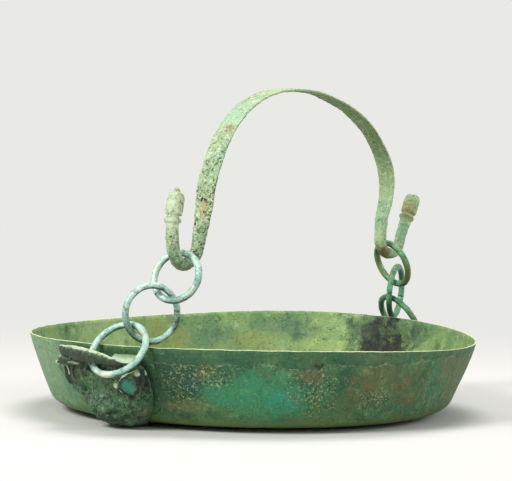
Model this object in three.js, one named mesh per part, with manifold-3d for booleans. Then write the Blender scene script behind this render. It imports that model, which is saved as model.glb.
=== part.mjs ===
// A shallow bronze dish that hangs from an arched handle by two chains of three rings.
// Millimetres, +Z up. The origin is the middle of the dish's flat foot, on the surface it stands on.
// Seen from the front, +X is to the right and +Y points away. Each chain starts at a horned bull's
// head that is soldered to the outside of the wall.

import * as THREE from 'three';
import { mergeVertices } from 'three/addons/utils/BufferGeometryUtils.js';
import Module from 'manifold-3d';

const wasm = await Module();
wasm.setup();

// Dish
const RIM_RADIUS = 150;
const RIM_HEIGHT = 52.7;
const WALL_LEAN = 14;
const CORNER_ROUND = 10;
const CORNER_RADIUS_AT_WALL = RIM_RADIUS - WALL_LEAN;
const CORNER_RADIUS_AT_BASE = CORNER_RADIUS_AT_WALL - CORNER_ROUND;
const CORNER_HEIGHT_AT_BASE = 3.6;
const CORNER_HEIGHT_AT_WALL = 11;
const CORNER_FULLNESS = 2.2;
const FOOT_RADIUS = 78;
const FOOT_BEND = 8;
const WALL = 1.5;
const WALL_BULGE = 1.8;
const PAN_SIDES = 64;

// The rim has sprung out of round and out of level with age
const RIM_SADDLE = 2.0;
const RIM_TWIST = 1.5;
const RIM_THREE_WAVE = 0.8;
const RIM_OVAL = 2.6;
const RIM_THREE_LOBE = 0.9;

// Horn loops: drop below the rim, lean to one side, and shift of the loop and its slot on the head
const LEFT_LOOP_DROP = 4.3;
const LEFT_LOOP_LEAN = 4.4;
const LEFT_LOOP_SHIFT = -4.4;
const LEFT_SLOT_SHIFT = -3.5;
const RIGHT_LOOP_DROP = 5.1;
const RIGHT_SLOT_SHIFT = -6;

// Mounts of the chains, with the turn of each round the dish from its front or back, and how far
// along its half length the right end of its horn loop reaches
const LEFT = {
  turn: -36.5,
  loopHeight: RIM_HEIGHT - LEFT_LOOP_DROP,
  loopLean: LEFT_LOOP_LEAN,
  loopShift: LEFT_LOOP_SHIFT,
  slotShift: LEFT_SLOT_SHIFT,
  loopEnd: 0.9,
};
const RIGHT = {
  turn: 136.5,
  loopHeight: RIM_HEIGHT - RIGHT_LOOP_DROP,
  loopLean: 0,
  loopShift: 0,
  slotShift: RIGHT_SLOT_SHIFT,
  loopEnd: 1.1,
};
const SOLDER = 0.8;
const SOLDER_HALF_WIDTH = 25;
const SOLDER_HALF_TALL = 14;
const SOLDER_HEIGHT = 27;
const GAP = 0.3;

// Horn loop, which leaves the wall beside the head, stands off it and comes back on the other side
const LOOP_OUT = 20.8;
const LOOP_HALF_LENGTH = 36;
const LOOP_DROOP = 2.6;
const LOOP_HALF_TALL = 5.2;
const LOOP_HALF_THICK = 2.8;
const LOOP_STEPS = 34;
const LOOP_SIDES = 10;

// Half height and half thickness of the horn as shares of the fullest, from its left tip to its right
const HORN_TAPER = [
  [-1, 0.12, 0.3], [-0.86, 0.48, 0.6], [-0.6, 0.76, 0.85], [-0.3, 0.92, 1], [0, 1, 1],
  [0.18, 0.92, 0.96], [0.36, 0.78, 0.88], [0.54, 0.56, 0.76], [0.74, 0.4, 0.64], [1, 0.3, 0.5],
];

// Bull's head under the loop, in sizes across, out from the wall and up
const HEAD_HALF_WIDTH = 27.5;
const MUZZLE_HALF_WIDTH = 21;
const HEAD_BELOW_RIM = 3.2;
const HEAD_TOP = RIM_HEIGHT - HEAD_BELOW_RIM;
const HEAD_BOTTOM = 0.8;
const HEAD_OUT = 13;
const MUZZLE_FLOOR = 7;
const EAR_HALF_LENGTH = 11.5;
const EAR_HALF_WIDTH = 4.6;
const EAR_HALF_THICK = 3.4;
const EAR_ACROSS = 25;
const EAR_OUT = 9.5;
const EAR_HEIGHT = 31;
const EAR_LEAN = 19;

// Slot down through the top of the head, behind the horn loop, for the lowest ring
const SLOT_HALF_WIDTH = 9.5;
const SLOT_HALF_DEPTH = 9.5;
const SLOT_OUT = 8;
const SLOT_DEEP = 13.5;
const SLOT_ABOVE = 10.5;

// Shelf that slopes from the wall down to the horn loop, beside the slot
const SHELF_ACROSS = 20;
const SHELF_OUT = 9;
const SHELF_BELOW_TOP = 4.7;
const SHELF_HALF_WIDTH = 12;
const SHELF_HALF_THICK = 4;
const SHELF_SLOPE = 16;

// Rings, by outside diameter and rod
const UPPER_RING = 36.9;
const UPPER_ROD = 4.9;
const MIDDLE_RING = 40.4;
const LOWER_RING = 43.4;
const LOWER_ROD = 4.6;
const SEAM = 0.5;
const ROCKING = [-3, 0, 2.5, 5];
const RING_STEPS = 36;
const RING_SIDES = 8;

// Handle
const HANDLE_ROD = 8.8;
const HANDLE_STRAP_WIDTH = 14.6;
const HANDLE_STRAP_THICK = 2.6;
const HANDLE_RISE = 113.3;
const HANDLE_STEPS = 96;
const HANDLE_SIDES = 10;

const BRONZE = { green: 0x4f7f62, pale: 0x9db88a, aqua: 0x7fb39c, dark: 0x3a5a44, grey: 0x6f7a70 };

const deg = THREE.MathUtils.degToRad;
const v2 = (x, y) => new THREE.Vector2(x, y);
const v3 = (x, y, z) => new THREE.Vector3(x, y, z);

// Unit vector from a bearing round the vertical axis and a rise above the level, both in degrees
function heading(bearing, rise) {
  const flat = Math.cos(deg(rise));
  return v3(flat * Math.cos(deg(bearing)), flat * Math.sin(deg(bearing)), Math.sin(deg(rise)));
}

// Geometry with shared corners and its faces pointing out
function closed(geometry) {
  const bare = geometry.clone();
  for (const name of Object.keys(bare.attributes)) {
    if (name !== 'position') bare.deleteAttribute(name);
  }
  const merged = mergeVertices(bare, 1e-4);
  const index = [...merged.index.array];
  const at = (i) => new THREE.Vector3().fromBufferAttribute(merged.attributes.position, i);
  const kept = [];
  let volume = 0;
  for (let i = 0; i < index.length; i += 3) {
    const [a, b, c] = index.slice(i, i + 3);
    if (a === b || b === c || a === c) continue;
    kept.push(a, b, c);
    volume += at(a).dot(at(b).cross(at(c)));
  }
  if (volume < 0) kept.reverse();
  merged.setIndex(kept);
  return merged;
}

function toSolid(geometry) {
  const shape = closed(geometry);
  return new wasm.Manifold(new wasm.Mesh({
    numProp: 3,
    vertProperties: new Float32Array(shape.attributes.position.array),
    triVerts: new Uint32Array(shape.index.array),
  }));
}

function toGeometry(solid) {
  const mesh = solid.getMesh();
  const geometry = new THREE.BufferGeometry();
  geometry.setAttribute('position', new THREE.BufferAttribute(new Float32Array(mesh.vertProperties), 3));
  geometry.setIndex(new THREE.BufferAttribute(new Uint32Array(mesh.triVerts), 1));
  return geometry;
}

function join(solids) {
  return solids.reduce((sum, solid) => sum.add(solid));
}

function bronze(color, roughness) {
  return new THREE.MeshStandardMaterial({ color, roughness, metalness: 0.35 });
}

// How far up the wall a height lies: 0 below the corner, 1 at the rim
function wallShare(z) {
  const start = CORNER_HEIGHT_AT_WALL;
  return THREE.MathUtils.smoothstep(z, start, RIM_HEIGHT);
}

// Moves a point of the true dish to where the sprung wall has it
function sprung(point) {
  const angle = Math.atan2(point.y, point.x);
  const share = wallShare(point.z);
  const rise = -RIM_SADDLE * Math.cos(2 * angle) + RIM_TWIST * Math.sin(2 * angle)
    - RIM_THREE_WAVE * Math.cos(3 * angle);
  const spread = RIM_OVAL * Math.sin(2 * angle) + RIM_OVAL * 0.4 * Math.cos(2 * angle)
    + RIM_THREE_LOBE * Math.cos(3 * angle);
  const radius = Math.hypot(point.x, point.y);
  if (radius < 1) return point;
  const scale = 1 + share * spread / RIM_RADIUS;
  return v3(point.x * scale, point.y * scale, point.z + share * rise);
}

function bend(geometry, move) {
  const position = geometry.attributes.position;
  for (let i = 0; i < position.count; i += 1) {
    const moved = move(v3(position.getX(i), position.getY(i), position.getZ(i)));
    position.setXYZ(i, moved.x, moved.y, moved.z);
  }
  return geometry;
}

// The dish's outside from the middle of the foot to the rim
function outerProfile() {
  const base = new THREE.QuadraticBezierCurve(
    v2(FOOT_RADIUS, 0),
    v2((FOOT_RADIUS + CORNER_RADIUS_AT_BASE) / 2 + FOOT_BEND, 0),
    v2(CORNER_RADIUS_AT_BASE, CORNER_HEIGHT_AT_BASE),
  );
  const corner = new THREE.QuadraticBezierCurve(
    v2(CORNER_RADIUS_AT_BASE, CORNER_HEIGHT_AT_BASE),
    v2(CORNER_RADIUS_AT_WALL - CORNER_FULLNESS, CORNER_HEIGHT_AT_BASE + CORNER_FULLNESS),
    v2(CORNER_RADIUS_AT_WALL, CORNER_HEIGHT_AT_WALL),
  );
  const wall = new THREE.QuadraticBezierCurve(
    v2(CORNER_RADIUS_AT_WALL, CORNER_HEIGHT_AT_WALL),
    v2((CORNER_RADIUS_AT_WALL + RIM_RADIUS) / 2 + WALL_BULGE, (CORNER_HEIGHT_AT_WALL + RIM_HEIGHT) / 2),
    v2(RIM_RADIUS, RIM_HEIGHT),
  );
  return [
    ...base.getPoints(4),
    ...corner.getPoints(4).slice(1),
    ...wall.getPoints(6).slice(1),
  ];
}

// Each point of a profile moved square to it, to the right of its run
function offsetProfile(points, distance) {
  return points.map((point, i) => {
    const before = points[Math.max(i - 1, 0)];
    const after = points[Math.min(i + 1, points.length - 1)];
    const run = after.clone().sub(before).normalize();
    return v2(point.x + run.y * distance, point.y - run.x * distance);
  });
}

// A lathe turned about Z instead of Y
function turned(points, sides) {
  return new THREE.LatheGeometry(points, sides).rotateX(Math.PI / 2);
}

function panGeometry() {
  const outside = outerProfile();
  const inside = offsetProfile(outside, -WALL);
  inside[0] = v2(FOOT_RADIUS, WALL);
  const profile = [v2(0, 0), ...outside, ...inside.reverse(), v2(0, WALL)];
  return closed(bend(turned(profile, PAN_SIDES), sprung));
}

// Everything within a distance of the dish's outside, as one filled body
function panEnvelope(distance) {
  const outside = offsetProfile(outerProfile(), distance);
  const lowest = outside[0];
  const top = outside[outside.length - 1];
  const profile = [v2(0, lowest.y), ...outside, v2(top.x, RIM_HEIGHT + 20), v2(0, RIM_HEIGHT + 20)];
  return toSolid(bend(turned(profile, PAN_SIDES), sprung));
}

// Radius of the dish's outside at a height, before the wall sprang
function outsideRadius(z) {
  const points = outerProfile();
  for (let i = 1; i < points.length; i += 1) {
    if (points[i].y >= z) {
      const share = (z - points[i - 1].y) / (points[i].y - points[i - 1].y);
      return THREE.MathUtils.lerp(points[i - 1].x, points[i].x, share);
    }
  }
  return RIM_RADIUS;
}

// A body swept along a curve. section(travel) gives its half sizes along side and across it
function swept(curve, length, steps, sides, side, section) {
  const profile = [v2(0, 0)];
  for (let i = 0; i <= steps; i += 1) profile.push(v2(1, i));
  profile.push(v2(0, steps));
  const lathe = new THREE.LatheGeometry(profile, sides);
  return closed(bend(lathe, (point) => {
    const share = point.y / steps;
    const centre = curve.getPointAt(share);
    const along = curve.getTangentAt(share);
    const wide = side.clone().addScaledVector(along, -side.dot(along)).normalize();
    const thin = along.clone().cross(wide);
    const { halfWide, halfThin } = section(share * length);
    return centre.addScaledVector(wide, point.x * halfWide).addScaledVector(thin, point.z * halfThin);
  }));
}

// A rod bent round into a ring, with its two ends almost meeting
class RingCurve extends THREE.Curve {
  constructor(radius, opening) {
    super();
    this.radius = radius;
    this.opening = opening;
  }

  getPoint(share, target = new THREE.Vector3()) {
    const angle = this.opening / 2 + share * (2 * Math.PI - this.opening);
    return target.set(this.radius * Math.cos(angle), this.radius * Math.sin(angle), 0);
  }
}

function ringGeometry(outer, rod, clear = 0) {
  const radius = (outer - rod) / 2;
  const curve = new RingCurve(radius, SEAM / radius);
  const section = () => ({ halfWide: rod / 2 + clear, halfThin: rod / 2 + clear });
  return swept(curve, curve.getLength(), RING_STEPS, RING_SIDES, v3(0, 0, 1), section);
}

// A ball stretched to half sizes and squared off; squareness 1 leaves it an ellipsoid
function lump(halfX, halfY, halfZ, squareness, sides = 20) {
  const ball = new THREE.SphereGeometry(1, sides, Math.round(sides * 0.6)).rotateX(Math.PI / 2);
  const square = (value) => Math.sign(value) * Math.abs(value) ** squareness;
  return bend(ball, (p) => v3(halfX * square(p.x), halfY * square(p.y), halfZ * square(p.z)));
}

// The horn loop: a bar that leaves the wall on one side, stands off it and comes back on the other
class HornCurve extends THREE.Curve {
  constructor(side) {
    super();
    this.side = side;
  }

  getPoint(share, target = new THREE.Vector3()) {
    const { loopHeight, loopLean, loopShift } = this.side;
    const run = -Math.cos(Math.PI * share);
    const out = LOOP_OUT * Math.sin(Math.PI * share);
    return target.set(
      loopShift + LOOP_HALF_LENGTH * run,
      -(outsideRadius(loopHeight) + out),
      loopHeight - loopLean * run - LOOP_DROOP * run * run,
    );
  }
}

// Values at a place in a table of rows that start with the place
function between(rows, place) {
  const i = Math.max(1, rows.findIndex((row) => row[0] >= place));
  const [from, to] = [rows[i - 1], rows[i]];
  const share = THREE.MathUtils.clamp((place - from[0]) / (to[0] - from[0]), 0, 1);
  return from.map((value, column) => THREE.MathUtils.lerp(value, to[column], share));
}

function hornSolid(side) {
  const curve = new HornCurve(side);
  const length = curve.getLength();
  const section = (travel) => {
    const share = THREE.MathUtils.clamp(travel / length, 0, 1);
    const run = (curve.getPointAt(share).x - side.loopShift) / LOOP_HALF_LENGTH;
    const [, tall, thick] = between(HORN_TAPER, THREE.MathUtils.clamp(run, -1, 1));
    return { halfWide: LOOP_HALF_TALL * tall, halfThin: LOOP_HALF_THICK * thick };
  };
  const bar = swept(curve, length, LOOP_STEPS, LOOP_SIDES, v3(0, 0, 1), section);
  const beyond = new THREE.BoxGeometry(LOOP_HALF_LENGTH, 4 * RIM_RADIUS, 2 * RIM_HEIGHT)
    .translate(side.loopShift + LOOP_HALF_LENGTH * (side.loopEnd + 0.5), 0, side.loopHeight);
  return toSolid(bar).subtract(toSolid(beyond));
}

// Swellings and hollows of the face: place across and up, height out, half sizes across and up
const FACE = [
  [0, 14, 9, 15, 9],
  [0, 9, 3, 19, 7],
  [0, 34, 2, 9, 8],
  [-7, 11, -3, 2.6, 2.2],
  [7, 11, -3, 2.6, 2.2],
];
const FACE_PAIR = [
  [19.8, 30, 3.2, 5.2, 4.6],
  [14.5, 28.5, 1.8, 2.2, 2.6],
  [20, 37, 3.4, 9, 3],
  [21, 23.5, -2.2, 8, 3],
  [12, 5, 4.5, 8, 4.5],
  [26.5, 14, 2, 5, 8],
];

function faceRelief(across, up) {
  let out = HEAD_OUT;
  const swell = (row, mirror) => {
    const [x, z, height, halfX, halfZ] = row;
    const away = ((across - mirror * x) / halfX) ** 2 + ((up - z) / halfZ) ** 2;
    out += height * Math.exp(-away);
  };
  FACE.forEach((row) => swell(row, 1));
  FACE_PAIR.forEach((row) => [-1, 1].forEach((mirror) => swell(row, mirror)));
  return out;
}

// Outline of the face at an angle round its middle: broad brow, narrowing to the muzzle
function faceOutline(angle) {
  const halfHeight = (HEAD_TOP - HEAD_BOTTOM) / 2;
  const squareness = 3;
  const across = (Math.abs(Math.cos(angle)) / HEAD_HALF_WIDTH) ** squareness;
  const up = (Math.abs(Math.sin(angle)) / halfHeight) ** squareness;
  const edge = (across + up) ** (-1 / squareness);
  const down = Math.max(-edge * Math.sin(angle) / halfHeight, 0) ** 1.4;
  const taper = THREE.MathUtils.lerp(1, MUZZLE_HALF_WIDTH / HEAD_HALF_WIDTH, down);
  return v2(edge * Math.cos(angle) * taper, edge * Math.sin(angle));
}

function faceSolid() {
  const rings = 11;
  const middle = (HEAD_TOP + HEAD_BOTTOM) / 2;
  const profile = [v2(0, 0)];
  for (let i = 1; i <= rings; i += 1) profile.push(v2(i / rings, 0));
  profile.push(v2(1, -1), v2(0, -1));
  const disc = new THREE.LatheGeometry(profile, 38);
  const shape = bend(disc, (point) => {
    const spread = Math.hypot(point.x, point.z);
    const outline = faceOutline(Math.atan2(point.z, point.x));
    const across = spread * outline.x;
    const up = middle + spread * outline.y;
    const front = faceRelief(across, up) * Math.sqrt(1 - 0.8 * spread ** 6);
    const out = point.y < -0.5 ? -HEAD_OUT : front;
    return v3(across, -(outsideRadius(Math.max(up, MUZZLE_FLOOR)) + out), up);
  });
  return toSolid(shape);
}

// Bull's head in its own frame: -Y is out from the dish, X is across the face
function headSolid(side, wear) {
  const put = (shape, x, out, z) => toSolid(shape.translate(x, -(outsideRadius(z) + out), z));
  const pieces = [faceSolid()];
  for (const mirror of [-1, 1]) {
    const ear = lump(EAR_HALF_WIDTH, EAR_HALF_THICK, EAR_HALF_LENGTH, 1, 12)
      .rotateY(deg(mirror * EAR_LEAN));
    pieces.push(put(ear, mirror * EAR_ACROSS, EAR_OUT, EAR_HEIGHT));
  }
  for (const mirror of [-1, 1]) {
    const shelf = lump(SHELF_HALF_WIDTH, SHELF_OUT, SHELF_HALF_THICK, 0.7, 12)
      .rotateX(deg(SHELF_SLOPE));
    pieces.push(put(shelf, side.loopShift + mirror * SHELF_ACROSS, SHELF_OUT, HEAD_TOP - SHELF_BELOW_TOP));
  }
  const slotShape = lump(SLOT_HALF_WIDTH, SLOT_HALF_DEPTH, (SLOT_DEEP + SLOT_ABOVE) / 2, 0.8, 12);
  const slotHeight = HEAD_TOP + (SLOT_ABOVE - SLOT_DEEP) / 2;
  const slot = put(slotShape, side.slotShift, SLOT_OUT, slotHeight);
  return join([join(pieces).subtract(slot), hornSolid(side)]).subtract(wear);
}

// Ring shape, placed by its centre and by the way its flat side faces
function ringMesh(name, outer, rod, centre, facing, seamTurn, color) {
  const mesh = new THREE.Mesh(ringGeometry(outer, rod), bronze(color, 0.6));
  mesh.name = name;
  mesh.position.copy(centre);
  mesh.quaternion.setFromUnitVectors(v3(0, 0, 1), facing);
  mesh.rotateZ(deg(seamTurn));
  return mesh;
}

// Clear distance from the middle of a ring to the near side of what hangs in it
const innerUpper = UPPER_RING / 2 - UPPER_ROD;
const innerMiddle = MIDDLE_RING / 2 - LOWER_ROD;
const innerLower = LOWER_RING / 2 - LOWER_ROD;

// A point reached from another by a distance along a way
function step(from, reach, way) {
  return from.clone().addScaledVector(way, reach);
}

function groupFor(side) {
  const frame = new THREE.Group();
  frame.rotation.z = deg(side.turn);
  frame.updateMatrixWorld();
  return frame;
}

// Centres of a chain's rings and of the hook that hangs from it, from its horn loop up
function chain(side) {
  const { seat, ways } = side.links;
  const plays = side.links.plays.map((play) => play * LOWER_ROD);
  const hold = new HornCurve(side).getPoint(seat).applyMatrix4(groupFor(side).matrixWorld);
  const lower = step(hold, innerLower - plays[0], ways[0]);
  const middle = step(lower, innerLower + innerMiddle - plays[1], ways[1]);
  const upper = step(middle, innerMiddle + innerUpper - plays[2], ways[2]);
  const hook = step(upper, innerUpper - HANDLE_ROD / 2 - plays[3], ways[3]);
  return { hold, lower, middle, upper, hook };
}

// Where each chain lies: its seat as a share of the horn loop, the play in each of its joints in rod
// thicknesses, and the way from each joint to the next
LEFT.links = {
  seat: 0.74,
  plays: [0.7, 0.15, 0.17, 0.13],
  ways: [heading(107.8, 36.8), heading(28.9, 44), heading(14.7, 55.9), heading(38.5, 66.8)],
};
RIGHT.links = {
  seat: 0.64,
  plays: [1.04, 2.7, 0.35, 0.28],
  ways: [heading(-80.6, 30.7), heading(143, 76.6), heading(-101.2, 50.7), heading(-134.5, 68.1)],
};

const left = chain(LEFT);
const right = chain(RIGHT);

// Handle: its span runs between the two hooks, and its path is given as shares of half the span
// along, and shares of its rise above the straight line between the hooks
const span = right.hook.clone().sub(left.hook);
const halfSpan = span.length() / 2;
const ARCH = [
  [-0.926, 0.011], [-0.874, 0.057], [-0.838, 0.185], [-0.813, 0.312], [-0.793, 0.45], [-0.744, 0.575],
  [-0.66, 0.724], [-0.535, 0.853], [-0.411, 0.926], [-0.252, 0.981], [-0.067, 1],
  [0.176, 0.989], [0.375, 0.942], [0.556, 0.875], [0.73, 0.771], [0.81, 0.695], [0.885, 0.604],
  [0.93, 0.508], [0.945, 0.415], [0.934, 0.327], [0.905, 0.238], [0.891, 0.15], [0.896, 0.066],
  [0.94, 0.011],
];
const LEFT_FINIAL = [[-1.047, 0.431], [-1.063, 0.344], [-1.081, 0.247], [-1.079, 0.15], [-1.06, 0.059]];
const RIGHT_FINIAL = [[1.072, 0.021], [1.11, 0.106], [1.16, 0.208], [1.204, 0.289], [1.238, 0.358]];
const HANDLE_PATH = [...LEFT_FINIAL, [-1, 0], ...ARCH, [1, 0], ...RIGHT_FINIAL];
const handleCurve = new THREE.CatmullRomCurve3(
  HANDLE_PATH.map(([along, up]) => v3(halfSpan * along, 0, HANDLE_RISE * up)),
);
handleCurve.arcLengthDivisions = 800;

// Distance from the tip and radius of the bud, its collar and the hook rod, in rod thicknesses
const FINIAL = [
  [0, 0.14], [0.05, 0.24], [0.3, 0.28], [0.38, 0.42], [0.56, 0.6], [0.85, 0.69], [1.4, 0.7],
  [1.95, 0.64], [2.18, 0.58], [2.28, 0.5], [2.38, 0.5], [2.46, 0.64], [2.64, 0.64], [2.74, 0.53],
  [3.3, 0.5],
].map((row) => row.map((share) => share * HANDLE_ROD));
const FINIAL_LENGTH = FINIAL[FINIAL.length - 1][0];
const LOST_NUB = 0.34 * HANDLE_ROD;

// Where, from each tip, the rod starts to widen and to thin, and where it is a full strap
const WIDENING_STARTS = 66;
const WIDENING_ENDS = 118;
const THINNING_STARTS = 58;
const THINNING_ENDS = 100;
const RIGHT_STRAP_NARROWER = 1.6;
const RIGHT_ROD_THINNER = 0.6;

function handleSection(travel, length) {
  const rightSide = travel > length / 2;
  const fromTip = rightSide ? length - travel + LOST_NUB : travel;
  if (fromTip <= FINIAL_LENGTH) {
    const [, radius] = between(FINIAL, fromTip);
    return { halfWide: radius, halfThin: radius };
  }
  const wide = THREE.MathUtils.smoothstep(fromTip, WIDENING_STARTS, WIDENING_ENDS);
  const thin = THREE.MathUtils.smoothstep(fromTip, THINNING_STARTS, THINNING_ENDS);
  const strap = HANDLE_STRAP_WIDTH - (rightSide ? RIGHT_STRAP_NARROWER : 0);
  const rod = HANDLE_ROD - (rightSide ? RIGHT_ROD_THINNER : 0);
  return {
    halfWide: THREE.MathUtils.lerp(rod, strap, wide) / 2,
    halfThin: THREE.MathUtils.lerp(rod, HANDLE_STRAP_THICK, thin) / 2,
  };
}

function handleGeometry() {
  const length = handleCurve.getLength();
  const section = (travel) => handleSection(travel, length);
  return swept(handleCurve, length, HANDLE_STEPS, HANDLE_SIDES, v3(0, 1, 0), section);
}

const handle = new THREE.Mesh(handleGeometry(), bronze(BRONZE.pale, 0.75));
handle.name = 'handle';
handle.position.copy(left.hook).add(right.hook).multiplyScalar(0.5);
handle.rotation.order = 'ZYX';
handle.rotation.z = Math.atan2(span.y, span.x);
handle.rotation.y = -Math.asin(span.z / span.length());

const dish = new THREE.Group();

const pan = new THREE.Mesh(panGeometry(), bronze(BRONZE.green, 0.6));
pan.name = 'pan';
dish.add(pan, handle);

// The room a lower ring takes as it rocks about the line between the two horn loops
function rockingRoom(lowerRing) {
  lowerRing.updateMatrixWorld();
  const line = right.hold.clone().sub(left.hold).normalize();
  const there = new THREE.Matrix4().makeTranslation(...left.hold);
  const back = there.clone().invert();
  const ring = toSolid(ringGeometry(LOWER_RING, LOWER_ROD, GAP))
    .transform(lowerRing.matrixWorld.toArray());
  return join(ROCKING.map((angle) => {
    const rock = new THREE.Matrix4().makeRotationAxis(line, deg(angle));
    return ring.transform(there.clone().multiply(rock).multiply(back).toArray());
  }));
}

function addMount(name, side, lowerRing) {
  const frame = groupFor(side);
  const toFrame = frame.matrixWorld.clone().invert().toArray();
  const local = (solid) => solid.transform(toFrame);
  const head = headSolid(side, local(rockingRoom(lowerRing)))
    .subtract(local(panEnvelope(GAP + SOLDER + GAP)));
  const bedShape = lump(SOLDER_HALF_WIDTH, SOLDER_HALF_TALL, SOLDER_HALF_TALL, 0.75, 16);
  const bed = toSolid(bedShape.translate(0, -outsideRadius(SOLDER_HEIGHT), SOLDER_HEIGHT))
    .intersect(local(panEnvelope(GAP + SOLDER)))
    .subtract(local(panEnvelope(GAP)));
  const mount = new THREE.Mesh(toGeometry(head), bronze(BRONZE.dark, 0.7));
  mount.name = `${name}_mount`;
  const solder = new THREE.Mesh(toGeometry(bed), bronze(BRONZE.grey, 0.8));
  solder.name = `${name}_solder`;
  frame.add(mount, solder);
  dish.add(frame);
}

// The three rings of a chain, lowest first
function ringsOf(name, links, facings, seams) {
  const sizes = [[LOWER_RING, LOWER_ROD], [MIDDLE_RING, LOWER_ROD], [UPPER_RING, UPPER_ROD]];
  return ['lower', 'middle', 'upper'].map((place, i) => ringMesh(
    `${name}_${place}_ring`, ...sizes[i], links[place], facings[i], seams[i], BRONZE.aqua,
  ));
}

const leftFacings = [heading(-124.2, 39.8), heading(-64.8, -0.2), heading(-118.7, 21.3)];
const rightFacings = [heading(30.9, 33.1), heading(163.2, 3.5), heading(-143.9, -22.5)];
const leftRings = ringsOf('left', left, leftFacings, [5, 21, 200]);
const rightRings = ringsOf('right', right, rightFacings, [180, 90, 60]);
dish.add(...leftRings, ...rightRings);
addMount('left', LEFT, leftRings[0]);
addMount('right', RIGHT, rightRings[0]);

export default dish;
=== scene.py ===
# %% [markdown]
# # A hanging bronze dish
# The object is a shallow dish of thin bronze, about two thousand years old, with a handle that hangs in
# two chains of rings. Each chain starts at a bull's head soldered under the rim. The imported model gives
# the frame: where every piece is and which body carries it. This script gives the looks: finer shapes
# over that frame, and patina that is painted by nodes alone.

import math

import bmesh
import bpy
from mathutils import Matrix, Quaternion, Vector, noise


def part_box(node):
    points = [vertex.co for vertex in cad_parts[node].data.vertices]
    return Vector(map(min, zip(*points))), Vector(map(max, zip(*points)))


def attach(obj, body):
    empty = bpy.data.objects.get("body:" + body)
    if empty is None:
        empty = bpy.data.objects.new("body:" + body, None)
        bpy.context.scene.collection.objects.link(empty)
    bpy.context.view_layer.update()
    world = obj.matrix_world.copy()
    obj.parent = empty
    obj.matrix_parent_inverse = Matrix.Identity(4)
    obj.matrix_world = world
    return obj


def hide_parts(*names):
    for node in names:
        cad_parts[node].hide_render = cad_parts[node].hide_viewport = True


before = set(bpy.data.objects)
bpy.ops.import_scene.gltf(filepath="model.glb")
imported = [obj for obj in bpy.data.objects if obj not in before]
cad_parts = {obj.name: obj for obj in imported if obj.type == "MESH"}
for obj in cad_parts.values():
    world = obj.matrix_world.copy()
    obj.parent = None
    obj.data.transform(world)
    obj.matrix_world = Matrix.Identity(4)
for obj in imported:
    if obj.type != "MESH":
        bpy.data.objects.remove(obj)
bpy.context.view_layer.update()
MM = 0.001
print("nodes:", ", ".join(sorted(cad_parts)))

# %% [markdown]
# ## Camera
# The photograph was taken from about two metres away, a hand's breadth above the rim, so the dish shows
# only a sliver of its inside. A long lens from far away keeps the front and back of the rim nearly the
# same width. The camera is rolled by about one degree, because the table runs down to the right.

# %% Camera at the photograph's angle
EYE = Vector((0, -1.9929, 0.2346))
AIM = Vector((0, 0, 0.066))
RISE_OF_VIEW = math.atan(72.5 / 2952)
TURN_OF_VIEW = -math.atan(1.6 / 2952)
ROLL = 0.0199

camera_data = bpy.data.cameras.new("camera")
camera_data.sensor_width = 36
camera_data.lens = 36 * 2952 / 512
camera_data.clip_end = 50
camera = bpy.data.objects.new("camera", camera_data)
bpy.context.collection.objects.link(camera)
level = (AIM - EYE).to_track_quat("-Z", "Y")
camera.location = EYE
camera.rotation_mode = "QUATERNION"
camera.rotation_quaternion = (
    level
    @ Quaternion((0, 1, 0), TURN_OF_VIEW)
    @ Quaternion((1, 0, 0), RISE_OF_VIEW)
    @ Quaternion((0, 0, 1), ROLL)
)
bpy.context.scene.camera = camera
print("lens", round(camera_data.lens, 1), "mm")

# %% [markdown]
# ## Shader maths as plain expressions
# A node tree is easier to read as sums than as a list of nodes. A Wire holds one output of a node, and
# Python's operators on it add the Math nodes. A Finish is one material: its `add` makes any other node,
# with the node's settings first and then the values or wires of its sockets.

# %% Wires and finishes
class Wire:
    """One output of a node, which + - and * can work on."""

    def __init__(self, finish, socket):
        self.finish = finish
        self.socket = socket

    def join(self, operation, first, second):
        return self.finish.add("ShaderNodeMath", {"operation": operation}, {0: first, 1: second})

    def __add__(self, other):
        return self.join("ADD", self, other)

    def __radd__(self, other):
        return self.join("ADD", other, self)

    def __sub__(self, other):
        return self.join("SUBTRACT", self, other)

    def __rsub__(self, other):
        return self.join("SUBTRACT", other, self)

    def __mul__(self, other):
        return self.join("MULTIPLY", self, other)

    def __rmul__(self, other):
        return self.join("MULTIPLY", other, self)


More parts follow.
